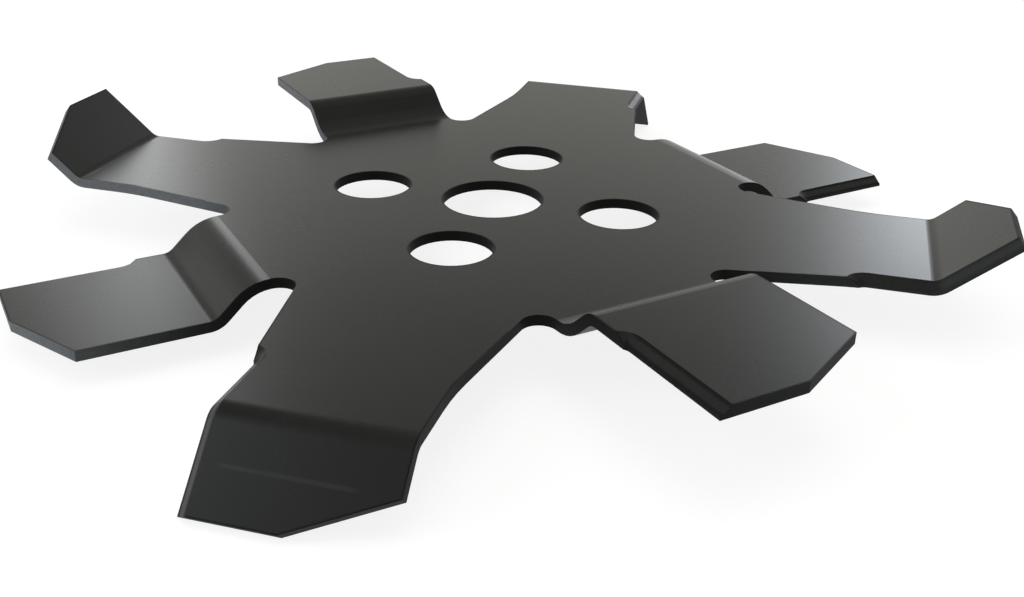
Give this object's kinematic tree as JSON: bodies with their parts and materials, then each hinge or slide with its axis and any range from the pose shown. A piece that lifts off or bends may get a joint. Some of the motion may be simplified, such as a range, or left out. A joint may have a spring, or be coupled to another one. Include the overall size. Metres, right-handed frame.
{
  "type": "brush cutter blade",
  "caption": "Folded steel brush cutter blade with a central bore, round lightening holes and ground arms that tip up, tip down or step to another level.",
  "frame": {"origin": "centre of the bore, half way through the plate", "axes": "+Z along the bore, towards the face that carries the bevels; +X along an arm whose tip is folded up; +Y along an arm whose tip is folded down"},
  "size_m": [0.2458, 0.248, 0.0284],
  "materials": {
    "coated_steel": "satin black coating"
  },
  "bodies": {
    "root": {"blade": "coated_steel"}
  },
  "joints": []
}
